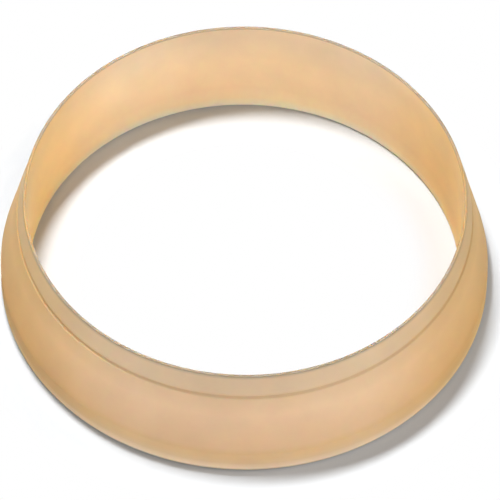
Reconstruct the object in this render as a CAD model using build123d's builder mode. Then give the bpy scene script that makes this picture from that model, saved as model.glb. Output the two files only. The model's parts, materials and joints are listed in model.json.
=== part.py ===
"""Conical nylon ring that seals a plain pipe end in a compression socket.

The ring is one moulded piece, so it is one solid: a wedge-shaped section turned round the pipe's axis.
The origin is at the middle of the flat base, with +Z along the axis towards the thin nose.
Lengths are in millimetres.
"""

import os

from build123d import *

# Pipe and bore
pipe_diameter = 40.0
pipe_clearance = 0.2

# Section of the wedge: an upright land at the base, and a cone from there to the nose
height = 11.6
base_wall = 2.6
land_height = 2.5

# Thin nose, where the bore opens like a bell
nose_wall = 0.25
lead_in = 0.15
lead_in_height = 1.8

# Fine groove round the cone, at a depth below the nose, and the broken edges of the base
groove_drop = 2.4
groove_width = 0.36
groove_depth = 0.2
base_edge_radius = 0.3
bore_chamfer = 0.25

# Places worked out from the sizes above
bore_radius = pipe_diameter / 2 + pipe_clearance
base_radius = bore_radius + base_wall
nose_inner_radius = bore_radius + lead_in
nose_outer_radius = nose_inner_radius + nose_wall
nose_edge_radius = 0.4 * nose_wall
cone_slope = (base_radius - nose_outer_radius) / (height - land_height)
groove_radius = nose_outer_radius + cone_slope * groove_drop
groove_height = height - groove_drop


def corner(sketch, radius, level):
    """The vertex of a section sketch at that distance from the axis and that height above the base."""
    return sketch.vertices().sort_by_distance((radius, level))[0]


# Conical ring
with BuildPart() as ring:
    with BuildSketch(Plane.XZ) as section:
        # Wedge with its land, its cone and a bell-mouthed bore
        with BuildLine():
            Polyline(
                (nose_inner_radius, height),
                (nose_outer_radius, height),
                (base_radius, land_height),
                (base_radius, 0),
                (bore_radius, 0),
                (bore_radius, height - lead_in_height),
            )
            TangentArc(
                (bore_radius, height - lead_in_height),
                (nose_inner_radius, height),
                tangent=(0, 1),
            )
        make_face()
        # Soft edges at the nose and the base, and a chamfer where the pipe enters
        fillet(corner(section, nose_outer_radius, height), nose_edge_radius)
        fillet(corner(section, nose_inner_radius, height), nose_edge_radius)
        fillet(corner(section, base_radius, 0), base_edge_radius)
        chamfer(corner(section, bore_radius, 0), bore_chamfer)
        # Groove cut into the cone, as wide as its name says where it meets the cone
        with BuildLine():
            Polyline(
                (groove_radius - groove_depth, groove_height),
                (groove_radius + groove_depth, groove_height + groove_width),
                (groove_radius + groove_depth, groove_height - groove_width),
                close=True,
            )
        make_face(mode=Mode.SUBTRACT)
    revolve(axis=Axis.Z)

ring.part.label = "conical_ring"

os.makedirs("parts", exist_ok=True)
export_step(ring.part, "parts/conical_ring.step")
print("conical_ring volume", round(ring.part.volume, 1), "mm3, size", ring.part.bounding_box().size)
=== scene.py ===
# %% [markdown]
# # A conical nylon ring
# This ring slips over a plain pipe. A nut presses on its wide base, its thin nose is squeezed into a
# tapered socket, and the joint is tight. It is moulded in one piece, so the lesson has one object and
# spends its time on that object's section, on the look of aged nylon, and on the light of a small
# product picture.
#
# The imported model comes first. It fixes every size, so whatever is made below takes its measures from
# it.

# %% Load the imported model
import json
import math

import bmesh
import bpy
from mathutils import Matrix, Vector


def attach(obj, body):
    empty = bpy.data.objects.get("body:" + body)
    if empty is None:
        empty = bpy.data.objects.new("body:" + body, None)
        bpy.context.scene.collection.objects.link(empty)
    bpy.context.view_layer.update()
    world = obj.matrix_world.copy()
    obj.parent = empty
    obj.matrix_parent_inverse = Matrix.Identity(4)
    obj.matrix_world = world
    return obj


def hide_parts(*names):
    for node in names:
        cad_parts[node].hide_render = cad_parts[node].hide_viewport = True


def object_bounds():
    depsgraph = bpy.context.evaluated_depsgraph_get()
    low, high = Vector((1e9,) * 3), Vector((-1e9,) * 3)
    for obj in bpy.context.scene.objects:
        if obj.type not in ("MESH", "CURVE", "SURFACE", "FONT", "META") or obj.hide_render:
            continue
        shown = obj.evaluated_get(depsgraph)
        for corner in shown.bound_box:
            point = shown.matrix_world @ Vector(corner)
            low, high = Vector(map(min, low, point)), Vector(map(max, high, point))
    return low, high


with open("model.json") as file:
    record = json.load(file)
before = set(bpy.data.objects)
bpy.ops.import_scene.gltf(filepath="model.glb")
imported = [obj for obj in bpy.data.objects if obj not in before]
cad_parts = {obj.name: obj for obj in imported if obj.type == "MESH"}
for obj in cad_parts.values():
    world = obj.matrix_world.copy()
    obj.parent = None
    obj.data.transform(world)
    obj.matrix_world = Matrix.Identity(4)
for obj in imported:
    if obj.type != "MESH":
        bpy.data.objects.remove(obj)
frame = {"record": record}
cad_low, cad_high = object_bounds()
millimetre = 0.001
print("CAD box in mm:", [round(side / millimetre, 2) for side in cad_high - cad_low])

# %% [markdown]
# ## Camera
# The picture looks down on the ring from the front, from far away, so near and far edges are almost the
# same size. A long lens at a long distance gives that. The pose could be found by trial and error, but
# ellipses say it directly: the ratio of an ellipse's axes gives the camera's height, and its tilt gives
# the camera's roll. The camera is slid sideways, not shifted or turned, until the middle of the ring
# lands on its own pixel.

# %% Place of the camera
photo_side = 500
ring_middle_px = Vector((244.2, 236.2))
bore_radius_px = 216.5
camera_elevation = math.radians(52.4)
camera_roll = math.radians(0.82)
camera_distance = 0.746

mounts = {mount["name"]: mount for mount in frame["record"]["mounts"]}
bore_radius = mounts["pipe_bore"]["dims"]["r_mm"] * millimetre
pixels_per_metre = bore_radius_px / bore_radius

# The camera's own directions, of which back points from the ring to the camera
back = Vector((0, -math.cos(camera_elevation), math.sin(camera_elevation)))
level_right = Vector((1, 0, 0))
level_up = back.cross(level_right)
right = level_right * math.cos(camera_roll) + level_up * math.sin(camera_roll)
up = back.cross(right)

ring_middle = (cad_low + cad_high) / 2
picture_middle = Vector((photo_side - 1, photo_side - 1)) / 2
slide = (ring_middle_px - picture_middle) / pixels_per_metre
camera_place = ring_middle + back * camera_distance - right * slide.x + up * slide.y
print("camera at", [round(side, 3) for side in camera_place])

# %% Camera
lens = bpy.data.cameras.new("camera")
lens.sensor_width = 36
lens.lens = lens.sensor_width * camera_distance * pixels_per_metre / photo_side
camera = bpy.data.objects.new("camera", lens)
camera_turn = Matrix((right, up, back)).transposed().to_4x4()
camera.matrix_world = Matrix.Translation(camera_place) @ camera_turn
bpy.context.scene.collection.objects.link(camera)
bpy.context.scene.camera = camera
print("lens in mm:", round(lens.lens, 1))

# %% [markdown]
# ## Section of the ring
# Cut through at one place, the ring is a wedge: a flat base, a short upright land, a straight cone with
# one fine groove, a thin rounded nose, and a bore that opens a little towards the nose. A torus pushed
# into shape would only come near it, and a bevelled curve would hide its sizes. So the section is drawn
# as a list of corners, each with its distance from the axis, its height and the radius of its rounding.
# Nothing moulded has a perfectly sharp edge, and it is the small roundings that catch the light.

# %% Sizes of the section
height = cad_high.z - cad_low.z
base_radius = (cad_high.x - cad_low.x) / 2
land_height = 2.5 * millimetre
nose_wall = 0.25 * millimetre
lead_in = 0.15 * millimetre
lead_in_height = 1.8 * millimetre
groove_drop = 2.4 * millimetre
groove_width = 0.36 * millimetre
groove_depth = 0.2 * millimetre
bore_chamfer = 0.25 * millimetre

nose_inner_radius = bore_radius + lead_in
nose_outer_radius = nose_inner_radius + nose_wall
cone_slope = (base_radius - nose_outer_radius) / (height - land_height)
groove_radius = nose_outer_radius + cone_slope * groove_drop
groove_height = height - groove_drop
print("cone leans in by", round(math.degrees(math.atan(cone_slope)), 1), "degrees")

# %% Corners of the section
fine_rounding = 0.06 * millimetre
base_rounding = 0.3 * millimetre
land_rounding = 0.8 * millimetre
nose_rounding = 0.4 * nose_wall
mouth_rounding = 9.0 * millimetre

# The groove's two faces meet the leaning cone at different distances from its bottom
groove_slope = 2 * groove_depth / groove_width
lower_lip = groove_depth / (groove_slope - cone_slope)
upper_lip = groove_depth / (groove_slope + cone_slope)

corners = [
    (bore_radius, bore_chamfer, fine_rounding),
    (bore_radius + bore_chamfer, 0, fine_rounding),
    (base_radius, 0, base_rounding),
    (base_radius, land_height, land_rounding),
    (groove_radius + cone_slope * lower_lip, groove_height - lower_lip, fine_rounding),
    (groove_radius - groove_depth, groove_height, fine_rounding),
    (groove_radius - cone_slope * upper_lip, groove_height + upper_lip, fine_rounding),
    (nose_outer_radius, height, nose_rounding),
    (nose_inner_radius, height, nose_rounding),
    (bore_radius, height - lead_in_height / 2, mouth_rounding),
]
print("section has", len(corners), "corners")

# %% [markdown]
# ## From corners to a ring
# Two small helpers turn the corners into a closed line of points: one bends each corner into an arc,
# the other divides long straight runs, because even, short faces shade more smoothly than long ones
# beside tiny ones. The line is then spun round the axis, which is how a lathe would make the ring. A
# Screw modifier could spin it too, but the finished mesh is wanted here at once.

# %% Round the corners
arc_step = math.radians(12)


def rounded(before, corner, after, radius):
    """Points of the arc of that radius that bends a corner between its two neighbours."""
    to_before = (before - corner).normalized()
    to_after = (after - corner).normalized()
    half_angle = to_before.angle(to_after) / 2
    middle = corner + (to_before + to_after).normalized() * radius / math.sin(half_angle)
    start = corner + to_before * radius / math.tan(half_angle)
    turn = math.pi - 2 * half_angle
    steps = max(2, math.ceil(turn / arc_step))
    spoke = start - middle
    side = 1 if to_before.cross(to_after) > 0 else -1
    return [middle + Matrix.Rotation(-side * turn * n / steps, 2) @ spoke for n in range(steps + 1)]


spots = [Vector((distance, level)) for distance, level, _ in corners]
section = []
for n, (_, _, radius) in enumerate(corners):
    section += rounded(spots[n - 1], spots[n], spots[(n + 1) % len(spots)], radius)
print("rounded section has", len(section), "points")

# %% Divide the runs
run_step = 0.4 * millimetre


def divided(line):
    """The closed line with extra points, so that no step is longer than run_step."""
    points = []
    for here, there in zip(line, line[1:] + line[:1]):
        steps = max(1, math.ceil((there - here).length / run_step))
        points += [here.lerp(there, n / steps) for n in range(steps)]
    return points


section = divided(section)
print("divided section has", len(section), "points")

# %% Spin the section
turn_steps = 360
mesh = bmesh.new()
verts = [mesh.verts.new((point.x, 0, point.y)) for point in section]
edges = [mesh.edges.new((here, there)) for here, there in zip(verts, verts[1:] + verts[:1])]
bmesh.ops.spin(mesh, geom=verts + edges, cent=(0, 0, 0), axis=(0, 0, 1), angle=2 * math.pi,
               steps=turn_steps, use_merge=True)
bmesh.ops.recalc_face_normals(mesh, faces=mesh.faces)
for face in mesh.faces:
    face.smooth = True
ring_mesh = bpy.data.meshes.new("nylon_ring")
mesh.to_mesh(ring_mesh)
mesh.free()
print("ring has", len(ring_mesh.polygons), "faces")

# %% Put the ring in the place of its solid
ring = bpy.data.objects.new("nylon_ring", ring_mesh)
bpy.context.scene.collection.objects.link(ring)
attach(ring, "root")
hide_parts("conical_ring")
print(ring.name, "stands for conical_ring")

# %% [markdown]
# ## Nylon
# Natural nylon is a milky plastic that lets light in and scatters it about, so edges look soft and
# shadows warm. With the years it yellows to the tan of this ring. A plain plastic shader would look
# painted, and real transmission would be slow and noisy. Subsurface scattering gives the milky depth.
# Its radius is largest for red, because red light travels furthest in a yellowed plastic. The surface
# is dull from handling, so the gloss is low.

# %% Nylon material
nylon = bpy.data.materials.new("aged_nylon")
nylon.use_nodes = True
nylon_tree = nylon.node_tree
surface = nylon_tree.nodes["Principled BSDF"]
surface.inputs["Subsurface Weight"].default_value = 1.0
surface.inputs["Subsurface Radius"].default_value = (1.0, 0.6, 0.3)
surface.inputs["Subsurface Scale"].default_value = 0.25 * millimetre
surface.inputs["IOR"].default_value = 1.53
surface.inputs["Specular IOR Level"].default_value = 0.1
ring_mesh.materials.append(nylon)
print("nylon scatters over", round(surface.inputs["Subsurface Scale"].default_value / millimetre, 2), "mm")

# %% [markdown]
# ## Helpers for nodes
# The tones below are made by nodes, and a few kinds of node come back again and again. They could be
# placed and linked one by one, as by hand in the shader editor. A helper for each kind is shorter to
# read: it makes the node, feeds it, and hands back the output that the next node takes.

# %% Make and feed a node
def node(tree, kind, at, **inputs):
    """A new node at a place on the node sheet, with some of its inputs set."""
    made = tree.nodes.new(kind)
    made.location = at
    for name, value in inputs.items():
        made.inputs[name.replace("_", " ")].default_value = value
    return made


def feed(tree, socket, source):
    """Links an output to a socket, or sets the socket to a fixed tone or number."""
    if isinstance(source, bpy.types.NodeSocket):
        tree.links.new(source, socket)
    elif isinstance(source, tuple):
        socket.default_value = (*source, 1)
    else:
        socket.default_value = source


print("helpers: node, feed")

# %% Ranges, arithmetic and mixes
def ranged(tree, at, value, smooth=False, **limits):
    """A value carried from one range to another, with soft ends where smooth is set."""
    made = node(tree, "ShaderNodeMapRange", at, **limits)
    made.interpolation_type = "SMOOTHSTEP" if smooth else "LINEAR"
    feed(tree, made.inputs["Value"], value)
    return made.outputs["Result"]


def worked(tree, at, operation, *terms):
    """The result of one step of arithmetic, on terms that are outputs or numbers."""
    made = node(tree, "ShaderNodeMath", at)
    made.operation = operation
    for socket, term in zip(made.inputs, terms):
        feed(tree, socket, term)
    return made.outputs["Value"]


def mixed(tree, at, blend, factor, under, over):
    """The mix of two colours, each of them an output or a fixed tone."""
    made = node(tree, "ShaderNodeMix", at)
    made.data_type = "RGBA"
    made.blend_type = blend
    feed(tree, made.inputs["Factor"], factor)
    # A mix node holds its sockets for numbers, vectors and colours under the same names
    colour_sockets = [socket for socket in made.inputs if socket.type == "RGBA"]
    for socket, colour in zip(colour_sockets, (under, over)):
        feed(tree, socket, colour)
    return next(socket for socket in made.outputs if socket.type == "RGBA")


print("helpers: ranged, worked, mixed")

# %% [markdown]
# ## Tones of the outside
# One flat colour would look like paint. Outside, the tone follows the height: painted shade under the
# rounded base edge, a pale band above it that is painted light, a deep tan on the thick land, a paler
# cone, painted shade in the groove, and a greyer nose whose top is painted shade. Vertex colours could
# hold that, but only as fine as the mesh is. A colour ramp is sharper. The ring's own coordinates drive
# it, so the tones stay on the ring from wherever it is seen.

# %% Height on the ring
on_ring = node(nylon_tree, "ShaderNodeTexCoord", (-1400, 0)).outputs["Object"]
split = node(nylon_tree, "ShaderNodeSeparateXYZ", (-1200, 200))
feed(nylon_tree, split.inputs["Vector"], on_ring)
across = split.outputs["X"]
upwards = split.outputs["Z"]
height_part = ranged(nylon_tree, (-1000, 400), upwards, From_Max=height)


def ramp(at, tones):
    """The colour along the height, through tones at their parts of the height."""
    made = node(nylon_tree, "ShaderNodeValToRGB", at)
    stops = made.color_ramp.elements
    while len(stops) < len(tones):
        stops.new(1.0)
    for stop, (part, tone) in zip(stops, tones):
        stop.position = part
        stop.color = (*tone, 1)
    feed(nylon_tree, made.inputs["Fac"], height_part)
    return made.outputs["Color"]


print("tones run over", round(height / millimetre, 1), "mm of height")

# %% Tones of the outside
# Painted shade: the darkest tone, under the rounded base edge where the ring meets the floor
base_painted_shade = (0.46, 0.34, 0.22)
# Painted light: a pale band just above the base edge
foot_painted_light = (0.82, 0.64, 0.46)
land_foot = (0.68, 0.475, 0.275)
land_tan = (0.68, 0.45, 0.24)
cone_foot = (0.73, 0.49, 0.29)
cone_tan = (0.82, 0.58, 0.37)
# Painted shade: the two groove tones darken the groove and its edges
groove_rim = (0.76, 0.54, 0.34)
groove_painted_shade = (0.70, 0.51, 0.32)
nose_tan = (0.72, 0.54, 0.36)
# Painted shade: the greyest tone, at the top of the nose
nose_grey = (0.58, 0.45, 0.31)

land_top = land_height / height
groove_at = groove_height / height
groove_reach = 0.6 * groove_width / height
outside_tones = [
    (0.015, base_painted_shade),
    (0.035, foot_painted_light),
    (0.10, land_foot),
    (0.16, land_tan),
    (land_top, land_tan),
    (land_top + 0.06, cone_foot),
    (0.60, cone_tan),
    (groove_at - 2 * groove_reach, groove_rim),
    (groove_at - groove_reach, groove_painted_shade),
    (groove_at + groove_reach, groove_painted_shade),
    (groove_at + 2 * groove_reach, nose_tan),
    (0.965, nose_tan),
    (0.985, nose_grey),
]
outside = ramp((-800, 400), outside_tones)
print("outside has", len(outside_tones), "tones")

# %% [markdown]
# ## Tones of the bore
# The bore is painted paler than the outside, as painted light for the light that gathers inside the
# ring. Its tones run from a pale foot, painted light where the floor beside it lies in shadow, to a
# darker mouth, painted shade against the light that shines through the thin nose. A second material on
# the bore's faces would end in a hard line on the rounded nose. So the bore has a second ramp in the
# same material, and the distance from the axis tells the two apart.

# %% Tones of the bore
# Painted light: the first three tones make the foot of the bore pale
pale_foot_light = (0.96, 0.84, 0.66)
pale_foot_fade = (0.96, 0.79, 0.55)
bore_gold = (0.96, 0.72, 0.44)
bore_foot = (0.90, 0.65, 0.39)
bore_tan = (0.87, 0.65, 0.40)
# Painted shade: the darker tone at the mouth, below the thin nose
bore_mouth = (0.77, 0.60, 0.41)

bore_tones = [
    (0.03, pale_foot_light),
    (0.07, pale_foot_fade),
    (0.12, bore_gold),
    (0.25, bore_foot),
    (0.60, bore_tan),
    (0.90, bore_mouth),
]
bore = ramp((-800, 700), bore_tones)
print("bore has", len(bore_tones), "tones")

# %% Bore or outside
def off_axis(tree, at, coordinates):
    """How far a point is from the ring's axis, whatever its height."""
    flat = node(tree, "ShaderNodeVectorMath", at)
    flat.operation = "MULTIPLY"
    flat.inputs[1].default_value = (1, 1, 0)
    feed(tree, flat.inputs[0], coordinates)
    length = node(tree, "ShaderNodeVectorMath", (at[0] + 200, at[1]))
    length.operation = "LENGTH"
    feed(tree, length.inputs[0], flat.outputs["Vector"])
    return length.outputs["Value"]


is_outside = ranged(nylon_tree, (-800, -50), off_axis(nylon_tree, (-1200, -50), on_ring),
                    From_Min=nose_inner_radius, From_Max=nose_outer_radius)
print("bore turns into outside between", round(nose_inner_radius / millimetre, 2), "and",
      round(nose_outer_radius / millimetre, 2), "mm from the axis")

# %% [markdown]
# ## Painted shade at the sides
# The two opposite sides of the ring, left and right as the camera sees them, are tinted darker and
# deeper in colour, in the bore and outside: painted shade for walls that turn away from the light and
# are seen edge-on. Two more ramps would do it, but a tint that is multiplied in is less to keep in step,
# and the tones along the height still show through it. The distance across, from the middle to either
# side, drives the tint. It starts at a different place in the bore and outside, and it is weaker on the
# nose, above the groove.

# %% Painted shade at the sides
# Painted shade: these tints darken and deepen the two sides
bore_flank_shade = (0.98, 0.81, 0.50)
bore_flank_shade_from = 0.45 * base_radius
bore_flank_shade_to = 0.9 * base_radius
cone_flank_shade = (0.86, 0.72, 0.44)
cone_flank_shade_from = 0.42 * base_radius
cone_flank_shade_to = 1.02 * base_radius
nose_share = 0.82

sideways = worked(nylon_tree, (-1000, -300), "ABSOLUTE", across)
bore_side = ranged(nylon_tree, (-800, -300), sideways, smooth=True,
                   From_Min=bore_flank_shade_from, From_Max=bore_flank_shade_to)
bore_tone = mixed(nylon_tree, (-500, 100), "MULTIPLY", bore_side, bore, bore_flank_shade)

cone_side = ranged(nylon_tree, (-1000, -600), sideways, smooth=True,
                   From_Min=cone_flank_shade_from, From_Max=cone_flank_shade_to)
groove_share = ranged(nylon_tree, (-1000, -900), upwards, From_Min=groove_height - groove_width,
                      From_Max=groove_height + groove_width, To_Min=1.0, To_Max=nose_share)
cone_part = worked(nylon_tree, (-800, -600), "MULTIPLY", cone_side, groove_share)
cone_tone = mixed(nylon_tree, (-500, 400), "MULTIPLY", cone_part, outside, cone_flank_shade)
both = mixed(nylon_tree, (-300, 300), "MIX", is_outside, bore_tone, cone_tone)
# The print gives where the cone's painted shade begins
print("cone yellows from", round(cone_flank_shade_from / millimetre, 1), "mm off the middle")

# %% [markdown]
# ## Painted shade on the edge of the nose
# The thin edge of the nose is painted darker than the bore and the cone: painted shade, so that the key
# does not light it up as a bright line. At the shaded sides it fades into their tan. A strip of faces
# with its own dark material would end in hard lines, so the edge is one more tone, which is mixed in over
# the last part of a millimetre of the height.

# %% Painted shade on the edge of the nose
# Painted shade: these dark tones cover the nose edge, tan at the sides
nose_edge_shade = (0.36, 0.29, 0.21)
nose_edge_shade_tan = (0.45, 0.30, 0.14)
tan_from = 0.83 * base_radius
tan_to = 0.88 * base_radius
edge_from = height - 0.2 * millimetre
edge_to = height - 0.05 * millimetre

edge_side = ranged(nylon_tree, (-800, -1200), sideways, From_Min=tan_from, From_Max=tan_to)
edge_tone = mixed(nylon_tree, (-500, -900), "MIX", edge_side, nose_edge_shade, nose_edge_shade_tan)
at_edge = ranged(nylon_tree, (-800, -900), upwards, From_Min=edge_from, From_Max=edge_to)
edged = mixed(nylon_tree, (-100, 300), "MIX", at_edge, both, edge_tone)
print("edge darkens over", round((edge_to - edge_from) / millimetre, 2), "mm")

# %% [markdown]
# ## Clouds and grain
# Two noises finish the surface. Broad clouds, as moulded nylon has them, change the tone and the gloss
# by a few percent. A fine grain, far below a millimetre, bends the surface just enough to break up the
# gloss. So fine a grain in the mesh would need millions of faces, so it is a bump.

# %% Clouds
clouds = node(nylon_tree, "ShaderNodeTexNoise", (-500, -150), Scale=220.0, Detail=3.0, Roughness=0.5)
feed(nylon_tree, clouds.inputs["Vector"], on_ring)
cloud_span = {"From_Min": 0.3, "From_Max": 0.7}
cloud_tone = ranged(nylon_tree, (-300, -50), clouds.outputs["Fac"], **cloud_span, To_Min=0.96, To_Max=1.04)
clouded = node(nylon_tree, "ShaderNodeVectorMath", (100, 200))
clouded.operation = "SCALE"
feed(nylon_tree, clouded.inputs[0], edged)
feed(nylon_tree, clouded.inputs["Scale"], cloud_tone)
feed(nylon_tree, surface.inputs["Base Color"], clouded.outputs["Vector"])

gloss = ranged(nylon_tree, (-300, -300), clouds.outputs["Fac"], **cloud_span, To_Min=0.55, To_Max=0.65)
feed(nylon_tree, surface.inputs["Roughness"], gloss)
print("clouds are about", round(1 / clouds.inputs["Scale"].default_value / millimetre, 1), "mm across")

# %% Grain
grain = node(nylon_tree, "ShaderNodeTexNoise", (-500, -550), Scale=2500.0, Detail=2.0, Roughness=0.6)
feed(nylon_tree, grain.inputs["Vector"], on_ring)
bump = node(nylon_tree, "ShaderNodeBump", (-300, -550), Strength=0.15, Distance=0.02 * millimetre)
feed(nylon_tree, bump.inputs["Height"], grain.outputs["Fac"])
feed(nylon_tree, surface.inputs["Normal"], bump.outputs["Normal"])
surface.location = (300, 200)
nylon_tree.nodes["Material Output"].location = (600, 200)
print("nylon has", len(nylon_tree.nodes), "nodes")

# %% [markdown]
# ## Floor
# The ring lies on a plain pale sheet. For the light that it throws back at the ring, the sheet is a mid
# grey. For rays that show it to the camera, straight on or mirrored, it is paler, so that it is nearly
# white wherever the key reaches it, and a few millimetres from the ring's wall, where its shadow ends,
# it turns into plain white. A brighter lamp would make it white too, but it would bleach the ring. This
# lights nothing more, because the rays that carry light to the ring still meet the grey.

# %% Floor
floor_half = 1.5
floor_gap = 0.02 * millimetre

mesh = bmesh.new()
bmesh.ops.create_grid(mesh, x_segments=1, y_segments=1, size=floor_half)
floor_mesh = bpy.data.meshes.new("floor")
mesh.to_mesh(floor_mesh)
mesh.free()
floor = bpy.data.objects.new("floor", floor_mesh)
floor.location.z = cad_low.z - floor_gap
bpy.context.scene.collection.objects.link(floor)
print("floor at", round(floor.location.z / millimetre, 3), "mm")

# %% Paper of the floor
def seen_rays(tree):
    """The output that is 1 for rays that show the stage, straight on, mirrored or through glass."""
    rays = node(tree, "ShaderNodeLightPath", (-1000, 0)).outputs
    reflected = worked(tree, (-800, 0), "MAXIMUM", rays["Is Camera Ray"], rays["Is Glossy Ray"])
    return worked(tree, (-600, 0), "MAXIMUM", reflected, rays["Is Transmission Ray"])


paper_for_light = (0.5, 0.5, 0.5)
paper_as_seen = (0.65, 0.68, 0.71)

sheet = bpy.data.materials.new("pale_sheet")
sheet.use_nodes = True
sheet_tree = sheet.node_tree
sheet_tree.nodes.clear()
seen = seen_rays(sheet_tree)
paper = node(sheet_tree, "ShaderNodeBsdfDiffuse", (-200, 0))
feed(sheet_tree, paper.inputs["Color"],
     mixed(sheet_tree, (-400, 0), "MIX", seen, paper_for_light, paper_as_seen))
print("paper is", paper_for_light, "for light and", paper_as_seen, "as seen")

# %% White beyond the shadow
white_from = 3 * millimetre
white_to = 6 * millimetre
wall_middle = (bore_radius + base_radius) / 2

on_sheet = node(sheet_tree, "ShaderNodeTexCoord", (-1200, -300)).outputs["Object"]
off_middle = off_axis(sheet_tree, (-1000, -300), on_sheet)
off_wall = worked(sheet_tree, (-600, -300), "SUBTRACT", off_middle, wall_middle)
beside_wall = worked(sheet_tree, (-400, -500), "ABSOLUTE", off_wall)
far_out = ranged(sheet_tree, (-200, -500), beside_wall, smooth=True, From_Min=white_from, From_Max=white_to)

white = node(sheet_tree, "ShaderNodeEmission", (-200, -200), Strength=1.0)
blend = node(sheet_tree, "ShaderNodeMixShader", (0, 0))
feed(sheet_tree, blend.inputs["Fac"], worked(sheet_tree, (-400, -300), "MULTIPLY", seen, far_out))
feed(sheet_tree, blend.inputs[1], paper.outputs["BSDF"])
feed(sheet_tree, blend.inputs[2], white.outputs["Emission"])
sheet_output = node(sheet_tree, "ShaderNodeOutputMaterial", (200, 0))
feed(sheet_tree, sheet_output.inputs["Surface"], blend.outputs["Shader"])
floor_mesh.materials.append(sheet)
print("floor turns white between", round(white_from / millimetre, 1), "and", round(white_to / millimetre, 1),
      "mm from the middle of the wall")

# %% [markdown]
# ## Light
# The key is a short strip that hangs high behind the ring on the left, only a quarter of a metre away.
# Near as it is, its rays spread: they pass the near side of the ring at more of a slant than the far
# side, so the shadow along the lower right is about as wide as the one inside the hole. A far lamp
# would make one of them too wide. A strip's shadow also fades outwards, which a small lamp's would not.
# Four large, low cards light the walls from all round, and being low they hardly lift the shadows on
# the floor. The one on the right is higher, to reach down into the bore.

# %% Room
room_level = 0.04
seen_level = 1.0

world = bpy.data.worlds.new("room")
bpy.context.scene.world = world
world.use_nodes = True
room_tree = world.node_tree
sky = room_tree.nodes["Background"]
sky.inputs["Color"].default_value = (1, 1, 1, 1)
sky_level = ranged(room_tree, (-200, 0), seen_rays(room_tree), To_Min=room_level, To_Max=seen_level)
feed(room_tree, sky.inputs["Strength"], sky_level)
print("room level", room_level)

# %% Key
def softbox(name, azimuth, elevation, distance, width, depth, level):
    """An oval lamp at an azimuth from the camera's side, which shows a card facing it at that level."""
    turn = math.radians(azimuth)
    rise = math.radians(elevation)
    flat = math.cos(rise)
    towards = Vector((math.sin(turn) * flat, -math.cos(turn) * flat, math.sin(rise)))
    data = bpy.data.lights.new(name, "AREA")
    data.shape = "ELLIPSE"
    data.size = width
    data.size_y = depth
    # The light thins out with the square of the distance, and the card scatters it to all sides
    data.energy = level * (math.pi * distance) ** 2
    lamp = bpy.data.objects.new(name, data)
    lamp.location = ring_middle + towards * distance
    lamp.rotation_mode = "QUATERNION"
    lamp.rotation_quaternion = towards.to_track_quat("Z", "Y")
    bpy.context.scene.collection.objects.link(lamp)
    print(name, "at", [round(side, 2) for side in lamp.location], "power", round(data.energy, 2), "W")


softbox("key", azimuth=-141, elevation=75.8, distance=0.235, width=0.06, depth=0.02, level=1.25)

# %% Cards
card_distance = 1.2
card_side = 0.6
cards = [
    {"name": "front", "azimuth": 5, "elevation": 18, "level": 0.6},
    {"name": "right", "azimuth": 90, "elevation": 22, "level": 0.41},
    {"name": "left", "azimuth": -90, "elevation": 14, "level": 0.14},
    {"name": "back", "azimuth": 180, "elevation": 14, "level": 0.12},
]
for card in cards:
    softbox(**card, distance=card_distance, width=card_side, depth=card_side)

# %% [markdown]
# ## Picture settings
# The Standard view shows each colour about as it is written. Other views would add contrast of their
# own.

# %% Finish
bpy.context.scene.view_settings.view_transform = "Standard"
